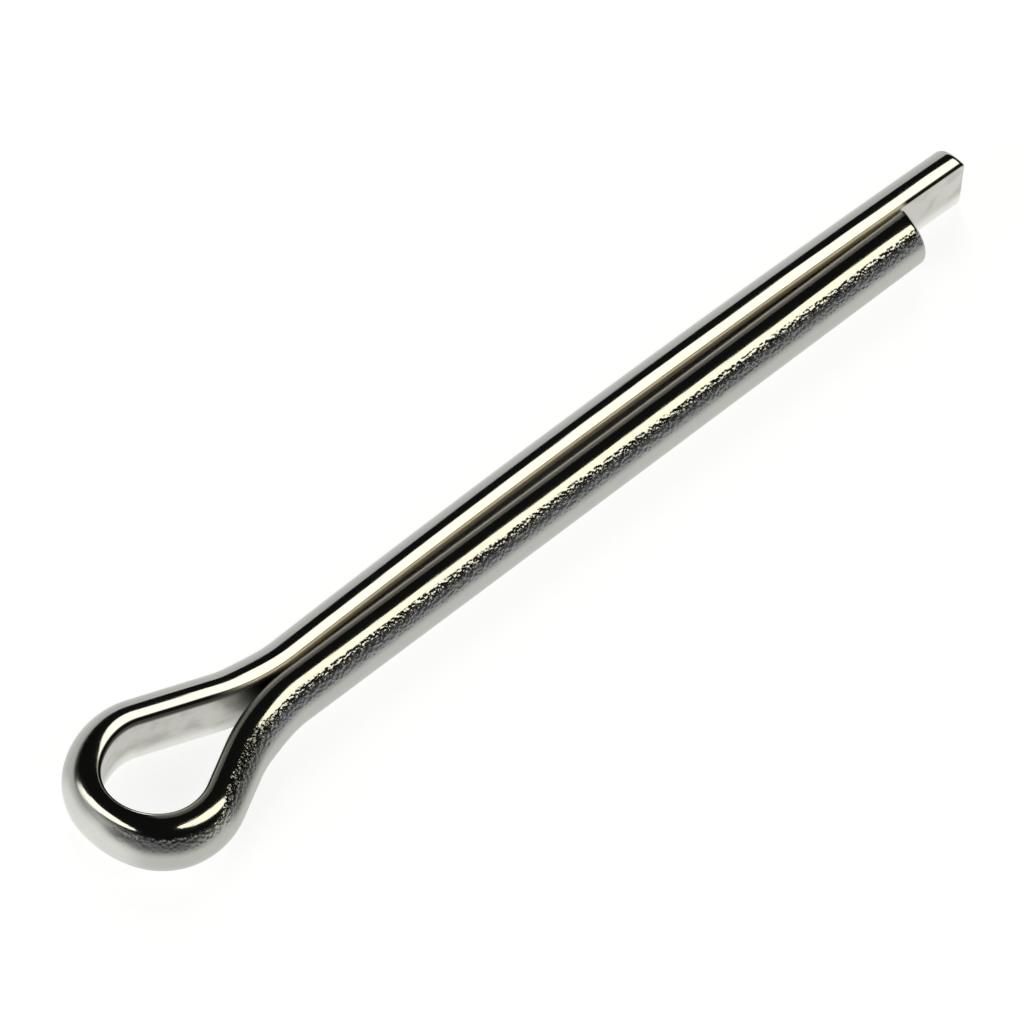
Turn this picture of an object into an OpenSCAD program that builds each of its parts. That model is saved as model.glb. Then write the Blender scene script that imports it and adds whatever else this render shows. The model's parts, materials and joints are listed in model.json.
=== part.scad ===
// Cotter pin with a drop-shaped eye, one long leg and square-cut ends.
//
// It is one length of half-round wire, which runs from the end of the short leg, round the
// eye, to the end of the long leg. The wire's flat face is on the inside all the way, so the
// two legs lie flat to flat and make a round shank between them.
//
// Millimetres. X is the shank's axis and points from the eye towards the ends of the legs.
// X = 0 is where both legs are straight. Z is the eye's axis, and the long leg is at +Y.

/* [Wire] */
// Radius of the half-round wire, which is the radius of the shank too
wire_r = 1.8; // [0.8:0.05:3]
// Rounding of the two edges of the wire's flat face
edge_r = 0.25; // [0.1:0.05:0.35]
// How far the wire's skin draws in where the wire is bent
bend_draw = 0.01; // [0.005:0.005:0.02]
// Bevel that shearing leaves round the outside of each end
end_bevel = 0.2; // [0.05:0.05:0.5]

/* [Legs] */
// Length of the straight shank, to the end of the short leg
shank_len = 35.5; // [10:0.5:120]
// How far the long leg runs past the short one
prong_extra = 3.6; // [0:0.1:10]
// Gap between the flat faces of the two legs
leg_gap = 0.05; // [0.02:0.01:0.5]

/* [Eye] */
// Inside radius of the eye, to the wire's flat face
eye_r = 2.3; // [1.6:0.05:5]
// Radius of the bend where a leg turns out of the shank, to its flat face
neck_r = 9.2; // [4:0.2:14]
// Angle between the shank and the short leg's side of the eye
short_flare = 28.3; // [18:0.1:32]
// Angle between the shank and the long leg's side of the eye
long_flare = 20.5; // [18:0.1:32]
// How far the eye stands off the shank's axis, towards the short leg
eye_shift = 0.13; // [0:0.01:0.2]

/* [Hidden] */

$fn = 96;
steel = [0.74, 0.74, 0.71];

// Straight lengths of wire reach this far into the bends at their ends.
lap = 0.05;
// The arc of an edge is this much larger than edge_r, so that it crosses the faces it joins.
edge_oversize = 1.01;

// Length of the straight side between the eye's bend and a leg's neck. The side leaves the
// eye at the angle flare, and the neck has to bring it down to its face of the gap.
// offset is how far the eye's centre lies to this leg's side of the shank's axis.
function side_len(flare, offset) =
    (offset + eye_r*cos(flare) - neck_r*(1 - cos(flare)) - leg_gap/2) / sin(flare);
short_side = side_len(short_flare, eye_shift);
long_side = side_len(long_flare, -eye_shift);

// Distance along X from the eye's centre to the start of a straight leg
function reach(flare, side) = (eye_r + neck_r)*sin(flare) + side*cos(flare);
short_reach = reach(short_flare, short_side);
long_reach = reach(long_flare, long_side);

// X = 0 is at the leg that becomes straight last, and the other leg starts before it.
eye_to_origin = max(short_reach, long_reach);
short_leg = shank_len + eye_to_origin - short_reach;
long_leg = shank_len + prong_extra + eye_to_origin - long_reach;

// Section of the wire: a half round with its flat face on the Y axis and its round side
// towards +X, its two edges rounded, and its whole outline drawn in by inset.
module half_round(inset = 0) {
    r = wire_r - inset;
    edge_x = inset + edge_r;
    edge_y = sqrt(pow(r - edge_r, 2) - pow(edge_x, 2));
    intersection() {
        circle(r);
        translate([inset, -r]) square([r, 2*r]);
        union() {
            translate([edge_x, -r]) square([r, 2*r]);
            translate([0, -edge_y]) square([r, 2*edge_y]);
            for (side = [-1, 1])
                translate([edge_x, side*edge_y]) circle(edge_r*edge_oversize);
        }
    }
}

// The next four modules lay the wire length by length. Each starts at the origin, runs
// along +X with the round side towards +Y, and moves its children to where it ends.

module straight(length) {
    rotate([90, 0, 90]) translate([0, 0, -lap]) linear_extrude(length + 2*lap) half_round();
    translate([length, 0, 0]) children();
}

// Turns left by angle, with the round side on the inside of the bend.
module neck_bend(angle) {
    translate([0, neck_r, 0]) {
        rotate([0, 0, -90]) rotate_extrude(angle = angle)
            translate([neck_r, 0]) mirror([1, 0]) half_round(bend_draw);
        rotate([0, 0, angle]) translate([0, -neck_r, 0]) children();
    }
}

// Turns right by angle, with the flat face on the inside of the bend.
module eye_bend(angle) {
    translate([0, -eye_r, 0]) {
        rotate([0, 0, 90]) rotate_extrude(angle = -angle)
            translate([eye_r, 0]) half_round(bend_draw);
        rotate([0, 0, -angle]) translate([0, eye_r, 0]) children();
    }
}

// A leg, straight to its sheared end. The cone takes the bevel off its round side.
module leg(length) {
    run = length + lap;
    rotate([90, 0, 90]) translate([0, 0, -lap]) intersection() {
        linear_extrude(run) half_round();
        cylinder(h = run, r1 = wire_r - end_bevel + run, r2 = wire_r - end_bevel);
    }
}

module cotter_pin() {
    color(steel) translate([shank_len - short_leg, -leg_gap/2, 0]) rotate([0, 0, 180]) {
        mirror([1, 0, 0]) leg(short_leg);
        neck_bend(short_flare)
            straight(short_side)
            eye_bend(180 + short_flare + long_flare)
            straight(long_side)
            neck_bend(long_flare)
            leg(long_leg);
    }
}

cotter_pin();
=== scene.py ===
import json
import math

import bpy
from mathutils import Matrix, Quaternion, Vector


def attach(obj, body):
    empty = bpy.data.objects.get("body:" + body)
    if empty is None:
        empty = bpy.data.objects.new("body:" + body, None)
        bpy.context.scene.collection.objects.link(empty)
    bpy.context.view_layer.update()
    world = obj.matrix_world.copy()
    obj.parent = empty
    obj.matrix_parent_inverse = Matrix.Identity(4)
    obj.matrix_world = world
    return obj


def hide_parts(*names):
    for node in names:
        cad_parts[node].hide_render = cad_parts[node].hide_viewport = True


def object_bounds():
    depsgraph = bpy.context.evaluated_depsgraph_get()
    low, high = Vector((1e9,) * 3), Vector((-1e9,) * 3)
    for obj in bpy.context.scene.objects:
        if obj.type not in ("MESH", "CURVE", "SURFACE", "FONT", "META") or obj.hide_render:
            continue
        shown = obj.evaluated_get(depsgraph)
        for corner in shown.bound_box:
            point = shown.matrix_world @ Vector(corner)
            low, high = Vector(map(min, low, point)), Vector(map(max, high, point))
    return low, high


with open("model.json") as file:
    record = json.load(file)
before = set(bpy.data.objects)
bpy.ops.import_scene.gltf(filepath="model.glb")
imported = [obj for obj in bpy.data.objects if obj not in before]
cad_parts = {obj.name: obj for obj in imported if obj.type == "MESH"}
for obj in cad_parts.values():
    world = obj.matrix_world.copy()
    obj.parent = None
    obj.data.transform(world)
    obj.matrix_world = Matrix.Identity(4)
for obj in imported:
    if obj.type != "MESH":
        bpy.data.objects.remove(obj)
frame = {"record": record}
# Box of the solids.
cad_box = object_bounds()

# The pin
# One length of half-round steel wire, bent round a mandrel with its flat face inside, so that
# it makes a drop-shaped eye and its two legs close flat to flat. The ends are sheared off
# square, and the whole pin is then bright zinc plated.

MM = 0.001

shank = next(m for m in frame["record"]["mounts"] if m["name"] == "shank")
wire_r = shank["dims"]["r_mm"] * MM
# Rounding of the two edges of the wire's flat face
edge_r = 0.15 * MM
# Shearing rounds each end over the last of its length, and draws its skin in.
end_run = 0.22 * MM
end_draw = 0.15 * MM
end_steps = 5

# Places of the two tips along the shank's axis
short_tip = 35.58 * MM
long_tip = 39.2 * MM
# Gap between the flat faces where the legs leave the eye
leg_gap = 0.12 * MM

# Inside radius of the eye, to the wire's flat face
eye_r = 2.3 * MM
# Place of the eye's centre, along the shank's axis and off it towards the short leg
eye_x = -7.72 * MM
eye_shift = 0.13 * MM
# Share by which the wire draws thinner over the eye's bend, and swells inside the necks
eye_draw = 0.205
neck_draw = -0.035
# The eye's end is pulled out by eye_push, which is greatest past the middle of the bend,
# towards the long leg. A high eye_sharp keeps the pull and the thinning close to the end.
eye_push = 0.24 * MM
eye_push_late = 1.314
eye_sharp = 6
# Radii of the bends where the legs turn out of the shank, to their flat faces
short_neck_r = 9.2 * MM
long_neck_r = 10.0 * MM
# Angles between the shank and the two sides of the eye
short_flare = math.radians(28.3)
long_flare = math.radians(20.5)
# The long leg springs this far away from the short one at the neck, and bends back all the
# way to its tip, so that the gap is widest in the middle of the shank.
spring_off = math.radians(1.3)
spring_back = math.radians(3.1)


def side_length(flare, neck_r, shift):
    """Length of the straight side between the eye's bend and the neck of a leg."""
    rise = shift + eye_r * math.cos(flare) - neck_r * (1 - math.cos(flare)) - leg_gap / 2
    return rise / math.sin(flare)


short_side = side_length(short_flare, short_neck_r, eye_shift)
long_side = side_length(long_flare, long_neck_r, -eye_shift)
short_reach = (eye_r + short_neck_r) * math.sin(short_flare) + short_side * math.cos(short_flare)
# The short leg is straight from its tip to here.
short_neck_x = eye_x + short_reach

# The wire is drawn on from its open end. place is the middle of the flat face there, and
# heading is the angle from the shank's axis to the way that the wire runs on.
place = Vector((short_tip, -leg_gap / 2, 0))
heading = math.pi


def forward():
    """The way that the wire runs on from its open end."""
    return Vector((math.cos(heading), math.sin(heading), 0))


def leftward():
    """The way to the left of it, which is the wire's round side."""
    return Vector((-math.sin(heading), math.cos(heading), 0))


def go_straight(length, steps=1):
    """Draws the wire on in a straight line from its open end."""
    global place
    step = forward() * (length / steps)
    for _ in range(steps):
        bpy.ops.mesh.extrude_region_move(TRANSFORM_OT_translate={"value": step})
    place = place + step * steps


def bend(radius, turn, steps, draw=0, sharp=2, push=0, push_late=1):
    """Bends the wire on from its open end, to the left where turn is positive.

    The wire is drawn thinner by the share draw in the middle of the bend, and pushed to its
    round side by push. A higher sharp keeps both closer to the middle, and push_late above 1
    shifts the push past it.
    """
    global place, heading
    centre = place + leftward() * math.copysign(radius, turn)
    size, moved = 1, 0
    for step in range(1, steps + 1):
        bpy.ops.mesh.spin(steps=1, angle=-turn / steps, center=centre, axis=(0, 0, 1))
        place = centre + Matrix.Rotation(turn / steps, 3, "Z") @ (place - centre)
        heading += turn / steps
        share = step / steps
        new_size = 1 - draw * math.sin(math.pi * share) ** sharp
        bpy.ops.transform.resize(
            value=(new_size / size, 1, 1),
            orient_matrix=Matrix((leftward(), forward(), (0, 0, 1))),
            orient_matrix_type="LOCAL",
            constraint_axis=(True, False, False),
            center_override=place + leftward() * moved,
        )
        size = new_size
        new_moved = push * math.sin(math.pi * share**push_late) ** sharp
        bpy.ops.transform.translate(value=leftward() * (new_moved - moved))
        moved = new_moved


def round_end(first, last):
    """Draws on a rounded end, between two shares of a quarter circle: 0 is full size."""
    global place
    angles = [math.pi / 2 * (first + (last - first) * i / end_steps) for i in range(end_steps + 1)]
    for old, new in zip(angles, angles[1:]):
        step = forward() * end_run * abs(math.sin(new) - math.sin(old))
        bpy.ops.mesh.extrude_region_move(TRANSFORM_OT_translate={"value": step})
        place = place + step
        old_r, new_r = (wire_r - end_draw * (1 - math.cos(angle)) for angle in (old, new))
        size = new_r / old_r
        bpy.ops.transform.resize(value=(size, size, size), center_override=place)


# The outline of the section stands at the short leg's end. It is drawn as a line up the flat
# face and three arcs, over the first edge, round the back and over the second edge.
flat_half = math.sqrt((wire_r - edge_r) ** 2 - edge_r**2)
edge_turn = math.pi - math.atan2(flat_half, edge_r)
round_turn = 2 * math.pi - 2 * edge_turn
# Extra points this far inside the flat face's edges keep its shading flat.
flat_margin = 0.05 * MM
edge_steps = 6
back_steps = 48
# Points that fall together where the outline closes are merged.
merge_distance = 0.001 * MM

# A small plane is merged to the point where the outline starts.
bpy.ops.object.select_all(action="DESELECT")
bpy.ops.mesh.primitive_plane_add(size=MM, location=(0, 0, 0))
pin = bpy.context.object
pin.name = "bent_wire"
pin.data.name = "bent_wire"
bpy.ops.object.mode_set(mode="EDIT")
bpy.ops.mesh.merge(type="CENTER")
bpy.ops.transform.translate(value=place + Vector((0, 0, -flat_half)))
for rise in (flat_margin, flat_half - flat_margin, flat_half - flat_margin, flat_margin):
    bpy.ops.mesh.extrude_region_move(TRANSFORM_OT_translate={"value": (0, 0, rise)})
edge_centre = place + leftward() * edge_r
for centre, turn, steps in (
    (edge_centre + Vector((0, 0, flat_half)), edge_turn, edge_steps),
    (place, round_turn, back_steps),
    (edge_centre - Vector((0, 0, flat_half)), edge_turn, edge_steps),
):
    bpy.ops.mesh.spin(steps=steps, angle=-turn, center=centre, axis=(1, 0, 0))
bpy.ops.mesh.select_all(action="SELECT")
bpy.ops.mesh.remove_doubles(threshold=merge_distance)
bpy.ops.mesh.edge_face_add()
bpy.ops.object.mode_set(mode="OBJECT")

# Each point keeps its place in the section, in millimetres, all along the wire, so that the
# marks of drawing can follow it: X is out from the flat face and Y is up.
section = pin.data.attributes.new("section", "FLOAT_VECTOR", "POINT")
for point, vertex in zip(section.data, pin.data.vertices):
    off_flat = (vertex.co - place).dot(leftward())
    point.vector = (off_flat / MM, vertex.co.z / MM, 0)

# Rings of points along each length of the wire, from the short leg to the long one
short_leg_steps, short_neck_steps, short_side_steps = 24, 24, 2
eye_steps = 96
long_side_steps, long_neck_steps, long_leg_steps = 4, 20, 28
# Edges sharper than this stay crisp in the shading.
crisp_angle = math.radians(40)

# The short leg's end starts at the size that shearing leaves it, and grows to full size.
bpy.ops.object.mode_set(mode="EDIT")
bpy.ops.mesh.select_all(action="SELECT")
shrunk = (wire_r - end_draw) / wire_r
bpy.ops.transform.resize(value=(shrunk, shrunk, shrunk), center_override=place)
round_end(1, 0)
go_straight(place.x - short_neck_x, short_leg_steps)
bend(short_neck_r, short_flare, short_neck_steps, neck_draw)
go_straight(short_side, short_side_steps)
eye_turn = math.pi + short_flare + long_flare
bend(eye_r, -eye_turn, eye_steps, eye_draw, eye_sharp, eye_push, eye_push_late)
go_straight(long_side, long_side_steps)
bend(long_neck_r, long_flare + spring_off, long_neck_steps, neck_draw)
long_leg = long_tip - end_run - place.x
bend(long_leg / spring_back, -spring_back, long_leg_steps)
round_end(0, 1)
bpy.ops.mesh.select_all(action="SELECT")
bpy.ops.mesh.normals_make_consistent(inside=False)
bpy.ops.object.mode_set(mode="OBJECT")
bpy.ops.object.shade_smooth_by_angle(angle=crisp_angle)


def srgb(code):
    """A hex colour as linear RGBA."""
    shares = [int(code[i : i + 2], 16) / 255 for i in (1, 3, 5)]
    linear = [c / 12.92 if c <= 0.04045 else ((c + 0.055) / 1.055) ** 2.4 for c in shares]
    return (*linear, 1.0)


def add_node(material, kind, settings=None, inputs=None):
    """Adds a node, sets its options, and sets its inputs or links them to nodes and sockets."""
    node = material.node_tree.nodes.new(kind)
    for name, value in (settings or {}).items():
        setattr(node, name, value)
    for name, value in (inputs or {}).items():
        if isinstance(value, bpy.types.Node):
            value = value.outputs[0]
        if isinstance(value, bpy.types.NodeSocket):
            material.node_tree.links.new(value, node.inputs[name])
        else:
            node.inputs[name].default_value = value
    return node


# Bright zinc plate on drawn wire: a mirror with fine lines along it, pitted by the rolls,
# darker grey over parts of its back, and dull on its edges. Painted shade darkens the long
# leg's back, the upper edges round the eye and at the long tip, a strip under the eye's rim,
# the eye's end and the flat faces where the legs lie closed. Painted light brightens the back
# at the eye's tip, the foot of the flat faces and the mouth between the legs.
zinc = bpy.data.materials.new("bright_zinc_plate")
zinc.use_nodes = True
zinc.node_tree.nodes.clear()

# Sizes of the clouds and stains in the plate, and of the rolls' pits and the grain over them
cloud_size = 0.9 * MM
stain_size = 1.3 * MM
pit_size = 0.17 * MM
grain_size = 0.1 * MM
# Height of the pits and grain, and the grain's share of it
pit_height = 0.037 * MM
grain_share = 0.5
# Lines from the drawing die. Real ones are finer, and these are coarse enough to show.
line_size = 0.16 * MM
line_height = 0.003 * MM
# How fast the lines change along the wire, as a share of how fast they change across it
line_run = 0.03
# Roughness of the clean plate, and how much its clouds add
clean_roughness = 0.06
cloud_roughness = 0.05

texture_place = add_node(zinc, "ShaderNodeTexCoord")
spot = texture_place.outputs["Object"]
place_on_pin = add_node(zinc, "ShaderNodeSeparateXYZ", inputs={"Vector": spot})
along, beside = place_on_pin.outputs["X"], place_on_pin.outputs["Y"]
section_place = add_node(
    zinc, "ShaderNodeAttribute", {"attribute_name": "section"}
).outputs["Vector"]
place_in_section = add_node(zinc, "ShaderNodeSeparateXYZ", inputs={"Vector": section_place})
out, up = place_in_section.outputs["X"], place_in_section.outputs["Y"]
outward = add_node(
    zinc, "ShaderNodeSeparateXYZ", inputs={"Vector": texture_place.outputs["Normal"]}
)

clouds = add_node(
    zinc,
    "ShaderNodeTexNoise",
    inputs={"Vector": spot, "Scale": 1 / cloud_size, "Detail": 3.0},
)
stains = add_node(
    zinc,
    "ShaderNodeTexNoise",
    inputs={"Vector": spot, "Scale": 1 / stain_size, "Detail": 2.0},
)

# Soft limits on the pin, each from 0 at its first place to 1 at its second. along and beside
# are X and Y on the pin. out and up are in the section's millimetres.
limit = {}
for name, source, start, end in (
    ("facing ahead", outward.outputs["X"], 0.6, 0.9),
    ("far ahead", along, 30 * MM, 32 * MM),
    ("short leg", beside, -0.8 * MM, -1.3 * MM),
    ("short side", beside, -0.3 * MM, -1.4 * MM),
    ("short half", beside, 0.03 * MM, -0.03 * MM),
    ("long half", beside, -0.03 * MM, 0.03 * MM),
    ("long side", beside, -0.4 * MM, 0.8 * MM),
    ("off the long leg", beside, 0.2 * MM, -1.4 * MM),
    ("off the short leg", beside, -1.7 * MM, -0.5 * MM),
    ("eye", along, -1.5 * MM, -4 * MM),
    ("off the eye", along, -4 * MM, -1.5 * MM),
    ("round the eye", along, -5.8 * MM, -7.2 * MM),
    ("before the eye's end", along, -7.2 * MM, -6 * MM),
    ("eye's end", along, -7 * MM, -9.5 * MM),
    ("off the eye's end", along, -9.9 * MM, -9.2 * MM),
    ("tip of the eye", along, -10.5 * MM, -11.3 * MM),
    ("closing", along, -3.9 * MM, -1.0 * MM),
    ("closed", along, -1.5 * MM, 0.5 * MM),
    ("before the short tip", along, short_tip, short_tip - 0.5 * MM),
    ("past the short tip", along, short_tip, short_tip + 0.4 * MM),
    ("upper edge", up, 1.4, 1.55),
    ("upper rim", up, 1.25, 1.5),
    ("lower flat", up, -0.6, -1.5),
    ("stained", stains, 0.45, 0.7),
):
    limit[name] = add_node(
        zinc,
        "ShaderNodeMapRange",
        {"interpolation_type": "SMOOTHSTEP"},
        {"Value": source, "From Min": start, "From Max": end},
    )
sheared = add_node(
    zinc,
    "ShaderNodeMath",
    {"operation": "MULTIPLY"},
    {0: limit["facing ahead"], 1: limit["far ahead"]},
)
# The sheared ends count as this place in the section, which has a plain finish.
plain_out = 0.7
to_plain = add_node(zinc, "ShaderNodeMath", {"operation": "SUBTRACT"}, {0: plain_out, 1: out})
out = add_node(
    zinc, "ShaderNodeMath", {"operation": "MULTIPLY_ADD"}, {0: sheared, 1: to_plain, 2: out}
)
# The pits start nearer to the flat face beside the eye, and further out round its end, by
# these steps in millimetres.
rolled_out = out
for name, shift in (("eye", 0.22), ("round the eye", -0.38)):
    rolled_out = add_node(
        zinc,
        "ShaderNodeMath",
        {"operation": "MULTIPLY_ADD"},
        {0: limit[name], 1: shift, 2: rolled_out},
    )
for name, source, start, end in (
    ("flat face", out, 0.03, 0.0),
    ("edge", out, 0.2, 0.12),
    ("off the gap", out, 0.04, 0.12),
    ("wide edge", out, 0.35, 0.27),
    ("pits start", rolled_out, 0.95, 1.15),
    ("pits end", out, 1.76, 1.5),
    ("grey starts", out, 1.1, 1.35),
    ("grey ends", out, 1.74, 1.5),
    ("back", out, 1.1, 1.5),
    ("eye's foot", out, 1.35, 1.65),
    ("outer side", out, 0.9, 1.15),
):
    limit[name] = add_node(
        zinc,
        "ShaderNodeMapRange",
        {"interpolation_type": "SMOOTHSTEP"},
        {"Value": source, "From Min": start, "From Max": end},
    )

# Each area of the finish, or of painted light and shade, lies within all of its limits.
area = {"sheared": sheared}
for name, limits in (
    ("pitted", ("pits start", "short leg", "pits end")),
    ("beside the eye", ("pits start", "short leg", "pits end", "eye", "before the eye's end")),
    ("greyed", ("grey starts", "grey ends", "short side", "off the eye")),
    ("eye's greyed", ("grey starts", "grey ends", "short side", "eye's end")),
    ("back", ("back", "off the long leg")),
    ("dull shaded back", ("outer side", "long side")),
    ("eye's painted sheen", ("eye's foot", "tip of the eye")),
    ("long edge", ("edge", "upper edge", "long half", "off the eye")),
    ("short edge", ("wide edge", "off the gap", "upper edge", "short half", "off the eye's end")),
    ("eye's shaded edge", ("edge", "upper edge", "eye", "off the short leg")),
    ("tip's shaded edge", ("edge", "upper edge", "past the short tip")),
    ("flat", ("flat face",)),
    ("stains", ("flat face", "stained")),
    ("flat's lit foot", ("flat face", "lower flat")),
    ("eye's shaded rim", ("flat face", "upper rim", "eye")),
    ("eye's end", ("flat face", "eye's end")),
    ("closed", ("flat face", "closing", "before the short tip")),
    ("lit mouth", ("flat face", "closed", "before the short tip", "upper rim")),
):
    within = limit[limits[0]]
    for other in limits[1:]:
        within = add_node(
            zinc, "ShaderNodeMath", {"operation": "MULTIPLY"}, {0: within, 1: limit[other]}
        )
    area[name] = within

# The clean plate is clouded from a warm to a cool grey. Each area then tints it by a share.
# Inputs 6 and 7 of a Mix node are its two colours, and output 2 is their mix.
tint = add_node(
    zinc,
    "ShaderNodeMix",
    {"data_type": "RGBA"},
    {0: clouds, 6: srgb("#bcbcae"), 7: srgb("#b2b4b8")},
)
for name, share, code in (
    ("beside the eye", 0.8, "#5a5a5a"),
    ("greyed", 0.75, "#727378"),
    ("eye's greyed", 0.85, "#545456"),
    # Painted shade: the back on the long leg's side is tinted darker. It is also made rougher
    # below.
    ("dull shaded back", 1.0, "#a5a6a2"),
    # Painted reflection: the back at the eye's tip is tinted lighter.
    ("eye's painted sheen", 0.7, "#dededa"),
    ("long edge", 1.0, "#ece4ce"),
    ("short edge", 1.0, "#8a8a88"),
    # Painted shade: the upper edge round the eye is tinted near black.
    ("eye's shaded edge", 1.0, "#24231f"),
    # Painted shade: the upper edge of the long leg past the short tip is tinted near black.
    ("tip's shaded edge", 1.0, "#24231f"),
    ("flat", 1.0, "#c4c4bc"),
    ("stains", 0.5, "#96968c"),
    # Painted reflection: the lower part of the flat faces is tinted lighter.
    ("flat's lit foot", 0.8, "#eeeeea"),
    # Painted shade: a strip of the flat face under its upper edge round the eye is tinted near
    # black.
    ("eye's shaded rim", 0.9, "#24231f"),
    # Painted shade: the flat face at the eye's end is tinted darker.
    ("eye's end", 0.3, "#46443e"),
    # Painted shade: the flat faces where the legs lie closed are tinted near black.
    ("closed", 0.88, "#2c2a26"),
    # Painted light: the upper strip of the flat faces where the legs close is tinted a light tan.
    # It is also made rougher below.
    ("lit mouth", 1.0, "#dfd4bb"),
):
    cover = add_node(zinc, "ShaderNodeMath", {"operation": "MULTIPLY"}, {0: area[name], 1: share})
    tint = add_node(
        zinc,
        "ShaderNodeMix",
        {"data_type": "RGBA"},
        {0: cover, 6: tint.outputs[2], 7: srgb(code)},
    )
tint = tint.outputs[2]

# Some areas are rougher than the clean plate, by as much as is given here.
roughness = add_node(
    zinc,
    "ShaderNodeMath",
    {"operation": "MULTIPLY_ADD"},
    {0: clouds, 1: cloud_roughness, 2: clean_roughness},
)
for name, more in (
    ("pitted", 0.06),
    ("back", 0.24),
    ("dull shaded back", 0.12),
    ("long edge", 0.34),
    ("short edge", 0.34),
    ("eye's shaded edge", 0.34),
    ("flat", 0.14),
    ("lit mouth", 0.3),
    ("sheared", 0.22),
):
    roughness = add_node(
        zinc,
        "ShaderNodeMath",
        {"operation": "MULTIPLY_ADD"},
        {0: area[name], 1: more, 2: roughness},
    )

# The pits and the finer grain over them
pits = add_node(
    zinc,
    "ShaderNodeTexVoronoi",
    {"feature": "SMOOTH_F1"},
    {"Vector": spot, "Scale": 1 / pit_size, "Smoothness": 0.5},
)
grain = add_node(
    zinc,
    "ShaderNodeTexNoise",
    inputs={"Vector": spot, "Scale": 1 / grain_size, "Detail": 1.0},
)
relief = add_node(
    zinc, "ShaderNodeMath", {"operation": "MULTIPLY_ADD"}, {0: grain, 1: grain_share, 2: pits}
)
# The relief's mean height comes off, so that the surface doesn't step where the pits begin.
mean_relief = 0.67
relief = add_node(zinc, "ShaderNodeMath", {"operation": "SUBTRACT"}, {0: relief, 1: mean_relief})
relief = add_node(
    zinc, "ShaderNodeMath", {"operation": "MULTIPLY"}, {0: relief, 1: area["pitted"]}
)
pitting = add_node(
    zinc,
    "ShaderNodeBump",
    inputs={"Strength": 1.0, "Distance": pit_height, "Height": relief},
)
# The die's lines vary across the wire and hardly at all along it.
run = add_node(
    zinc, "ShaderNodeVectorMath", {"operation": "SCALE"}, {"Vector": spot, "Scale": line_run}
)
across = add_node(
    zinc,
    "ShaderNodeVectorMath",
    {"operation": "MULTIPLY_ADD"},
    {0: section_place, 1: (MM, MM, MM), 2: run},
)
lines = add_node(
    zinc,
    "ShaderNodeTexNoise",
    inputs={"Vector": across, "Scale": 1 / line_size, "Detail": 2.0},
)
drawing = add_node(
    zinc,
    "ShaderNodeBump",
    inputs={"Strength": 1.0, "Distance": line_height, "Height": lines, "Normal": pitting},
)
plate = add_node(
    zinc,
    "ShaderNodeBsdfPrincipled",
    inputs={"Base Color": tint, "Metallic": 1.0, "Roughness": roughness, "Normal": drawing},
)
add_node(zinc, "ShaderNodeOutputMaterial", inputs={"Surface": plate})
pin.data.materials.append(zinc)

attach(pin, "root")
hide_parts("cotter_pin")

# The floor
# A plain white board with a matt coat, wide enough to fill every view. The pin lies loose on
# it, on its side.

board_size = 5000 * MM
board_top = cad_box[0].z
# The board's own colour takes the lamps' light and the pin's shadow. This glow lifts it to
# white for the eye and in the pin's reflections, and lights nothing else.
board_glow = 0.85

bpy.ops.object.select_all(action="DESELECT")
bpy.ops.mesh.primitive_plane_add(size=board_size, location=(0, 0, board_top))
floor = bpy.context.object
floor.name = "floor"
board = bpy.data.materials.new("white_board")
board.use_nodes = True
board.node_tree.nodes.clear()
matt = add_node(board, "ShaderNodeBsdfDiffuse", inputs={"Color": srgb("#b4b4b6")})
rays = add_node(board, "ShaderNodeLightPath")
seen_or_mirrored = add_node(
    board,
    "ShaderNodeMath",
    {"operation": "MAXIMUM"},
    {0: rays.outputs["Is Camera Ray"], 1: rays.outputs["Is Glossy Ray"]},
)
shown = add_node(
    board,
    "ShaderNodeMath",
    {"operation": "MAXIMUM"},
    {0: seen_or_mirrored, 1: rays.outputs["Is Transmission Ray"]},
)
lift = add_node(board, "ShaderNodeMath", {"operation": "MULTIPLY"}, {0: shown, 1: board_glow})
glow = add_node(board, "ShaderNodeEmission", inputs={"Strength": lift})
coat = add_node(board, "ShaderNodeAddShader", inputs={0: matt, 1: glow})
add_node(board, "ShaderNodeOutputMaterial", inputs={"Surface": coat})
floor.data.materials.append(board)

# The lamps
# Three oval soft boxes hang in front of the pin, behind it and beyond its eye. Each draws
# one of the long bright bands on the polished wire. The room around them is dark but for
# one low pale wall.

lamp_distance = 500 * MM
# The lamps aim at the middle of the pin.
pin_middle = Vector((12 * MM, 0, 0))


def soft_box(name, turn, rise, wide, high, roll, power, colour):
    """Hangs an oval lamp over the pin.

    turn and rise give the way to it from the pin, from the X axis and up from the floor.
    wide and high are the angles that it fills as the pin sees it, and roll turns it about
    its aim. power is its radiance, at which 1 shows as white. All angles are in degrees.
    """
    turn, rise, roll = math.radians(turn), math.radians(rise), math.radians(roll)
    away = Vector(
        (math.cos(turn) * math.cos(rise), math.sin(turn) * math.cos(rise), math.sin(rise))
    )
    light = bpy.data.lights.new(name, "AREA")
    light.shape = "ELLIPSE"
    light.size = 2 * lamp_distance * math.tan(math.radians(wide) / 2)
    light.size_y = 2 * lamp_distance * math.tan(math.radians(high) / 2)
    # The radiance of a flat lamp is its energy over its area and pi.
    oval = light.size * light.size_y * (math.pi / 4)
    light.energy = power * oval * math.pi
    light.color = srgb(colour)[:3]
    lamp = bpy.data.objects.new(name, light)
    bpy.context.scene.collection.objects.link(lamp)
    lamp.rotation_mode = "QUATERNION"
    lamp.rotation_quaternion = away.to_track_quat("Z", "Y") @ Quaternion((0, 0, 1), roll)
    lamp.location = pin_middle + away * lamp_distance


soft_box("front_box", -60.6, 50.2, 17.6, 50, 47, 2.2, "#fffae4")
soft_box("back_box", 54.4, 46, 31, 39.5, 33.4, 2.3, "#fffcee")
soft_box("side_box", 158, 30.3, 17, 72, -60, 2.3, "#fffcee")

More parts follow.
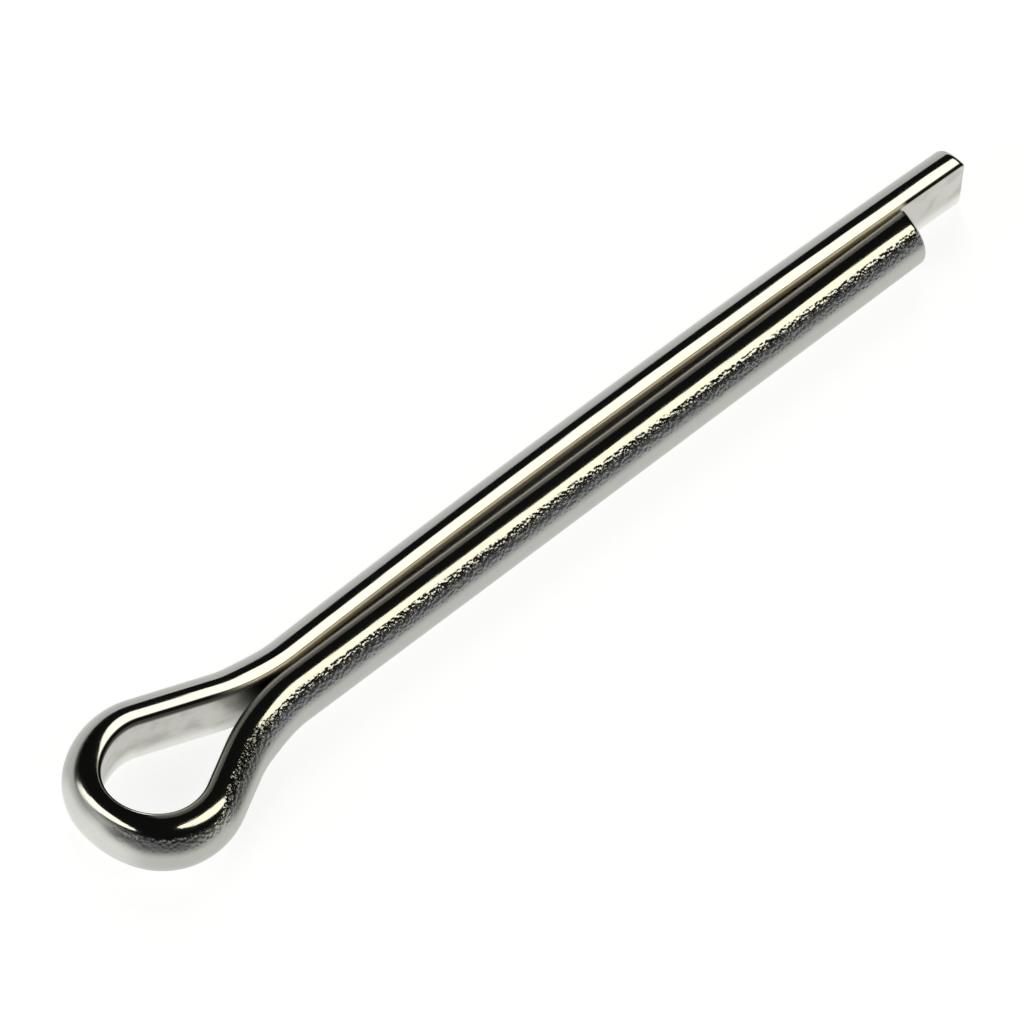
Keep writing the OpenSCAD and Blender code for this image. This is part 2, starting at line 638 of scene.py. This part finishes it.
# The pale wall stands beyond the eye, a little towards the short leg's side. It fades out
# from side to side, where the way to it leaves wall_side, and with height.
wall_side = Vector((-0.94, -0.34, 0))
wall_outer, wall_inner = 0.1, 0.8
wall_top, wall_foot = 0.6, 0.2
wall_glow = 0.9
room_glow = 0.01
world = bpy.data.worlds.new("studio")
bpy.context.scene.world = world
world.use_nodes = True
world.node_tree.nodes.clear()
way = add_node(world, "ShaderNodeTexCoord").outputs["Generated"]
towards_wall = add_node(
    world, "ShaderNodeVectorMath", {"operation": "DOT_PRODUCT"}, {0: way, 1: wall_side}
)
way_up = add_node(world, "ShaderNodeSeparateXYZ", inputs={"Vector": way})
wall_across, wall_up = (
    add_node(
        world,
        "ShaderNodeMapRange",
        {"interpolation_type": "SMOOTHSTEP"},
        {"Value": source, "From Min": start, "From Max": end},
    )
    for source, start, end in (
        (towards_wall.outputs["Value"], wall_outer, wall_inner),
        (way_up.outputs["Z"], wall_top, wall_foot),
    )
)
wall = add_node(
    world, "ShaderNodeMath", {"operation": "MULTIPLY"}, {0: wall_across, 1: wall_up}
)
brightness = add_node(
    world,
    "ShaderNodeMath",
    {"operation": "MULTIPLY_ADD"},
    {0: wall, 1: wall_glow, 2: room_glow},
)
room = add_node(world, "ShaderNodeBackground", inputs={"Strength": brightness})
add_node(world, "ShaderNodeOutputWorld", inputs={"Surface": room})

# The camera
# A long lens looks down across the pin from the eye's end, on the short leg's side. The
# camera is rolled a little, as if it were held by hand.

# The camera's turn from the -Y side towards +X, its rise over the floor, and its roll
camera_turn = math.radians(-46.33)
camera_rise = math.radians(61.72)
camera_roll = math.radians(6.0)
camera_distance = 801 * MM
# Size of a millimetre in the picture, in pixels, at the aim's distance
pixels_per_mm = 22.853
picture_pixels = 1024
sensor_mm = 36
# The camera aims this far to the right of shank_mark and above it, as the picture shows them.
shank_mark = Vector((11.57 * MM, 0, 0))
aim_right = 0.9695 * MM
aim_up = 0.8842 * MM

# The way from the aim to the camera
towards = Vector(
    (
        math.sin(camera_turn) * math.cos(camera_rise),
        -math.cos(camera_turn) * math.cos(camera_rise),
        math.sin(camera_rise),
    )
)
camera_stance = towards.to_track_quat("Z", "Y") @ Quaternion((0, 0, 1), camera_roll)
aim = shank_mark + camera_stance @ Vector((aim_right, aim_up, 0))
lens = bpy.data.cameras.new("camera")
camera = bpy.data.objects.new("camera", lens)
bpy.context.scene.collection.objects.link(camera)
camera.rotation_mode = "QUATERNION"
camera.rotation_quaternion = camera_stance
camera.location = aim + towards * camera_distance
lens.sensor_width = sensor_mm
lens.lens = pixels_per_mm * camera_distance / MM * sensor_mm / picture_pixels
# The nearest and farthest that the camera sees, in metres
lens.clip_start = 0.01
lens.clip_end = 5
bpy.context.scene.camera = camera
bpy.context.scene.view_settings.view_transform = "Standard"
